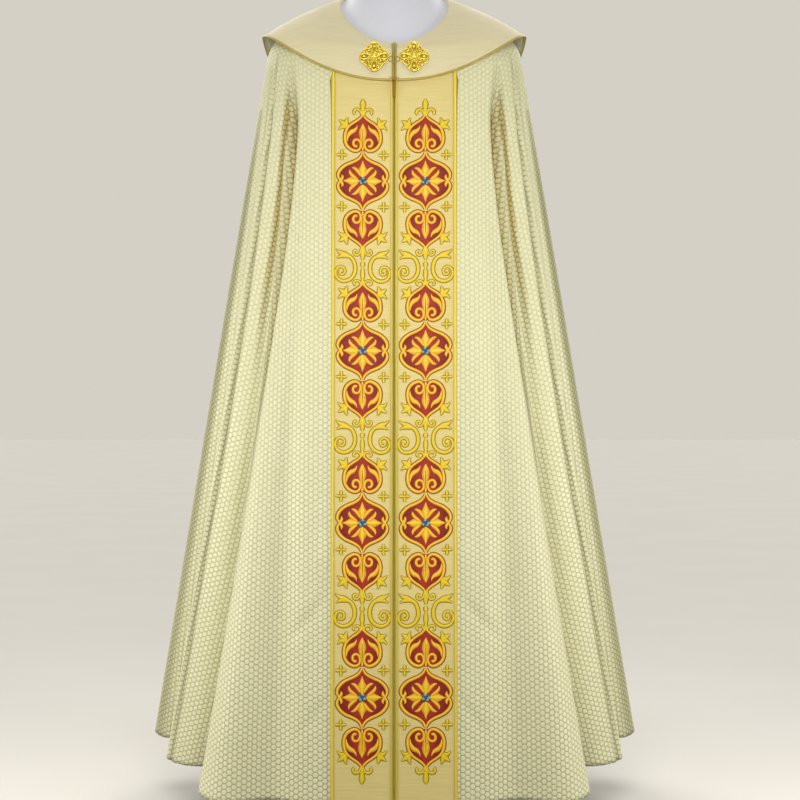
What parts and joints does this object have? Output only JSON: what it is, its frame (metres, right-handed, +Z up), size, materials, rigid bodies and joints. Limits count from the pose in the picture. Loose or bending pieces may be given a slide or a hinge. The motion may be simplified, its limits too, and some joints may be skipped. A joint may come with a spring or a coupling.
{
  "type": "cope vestment on a dress form",
  "caption": "Floor-length open-fronted church cope with embroidered orphreys, round cape collar and clasp, hanging in folds on a limbless dress form on a round foot.",
  "frame": {"origin": "on the floor under the middle of the round foot", "axes": "+Z up, -Y the front of the garment, +X the wearer's left"},
  "size_m": [1.0024, 0.6551, 1.686],
  "materials": {
    "brocade": "satin-ground brocade with small six-sided cells",
    "orphrey_cloth": "fine horizontally ribbed cloth with satin-stitch embroidery",
    "gold_braid": "flat woven gold braid",
    "collar_cloth": "fine ribbed cloth, matt",
    "lining_cloth": "plain lining, slight sheen",
    "gold_cord": "twisted gold cord",
    "gilt_metal": "gilt, polished high spots",
    "form_cover": "smooth, matt",
    "stand_metal": "satin powder coat"
  },
  "bodies": {
    "root": {"front_gore_left": "brocade", "front_gore_right": "brocade", "side_gore_left": "brocade", "side_gore_right": "brocade", "back_side_gore_left": "brocade", "back_side_gore_right": "brocade", "back_gore": "brocade", "orphrey_left": "orphrey_cloth", "orphrey_right": "orphrey_cloth", "braid_front_left": "gold_braid", "braid_front_right": "gold_braid", "braid_outer_left": "gold_braid", "braid_outer_right": "gold_braid", "collar": "collar_cloth", "collar_lining": "lining_cloth", "collar_piping": "gold_cord", "clasp_left": "gilt_metal", "clasp_right": "gilt_metal", "clasp_hook": "gilt_metal", "dress_form": "form_cover", "stand_pole": "stand_metal", "stand_base": "stand_metal"}
  },
  "joints": []
}
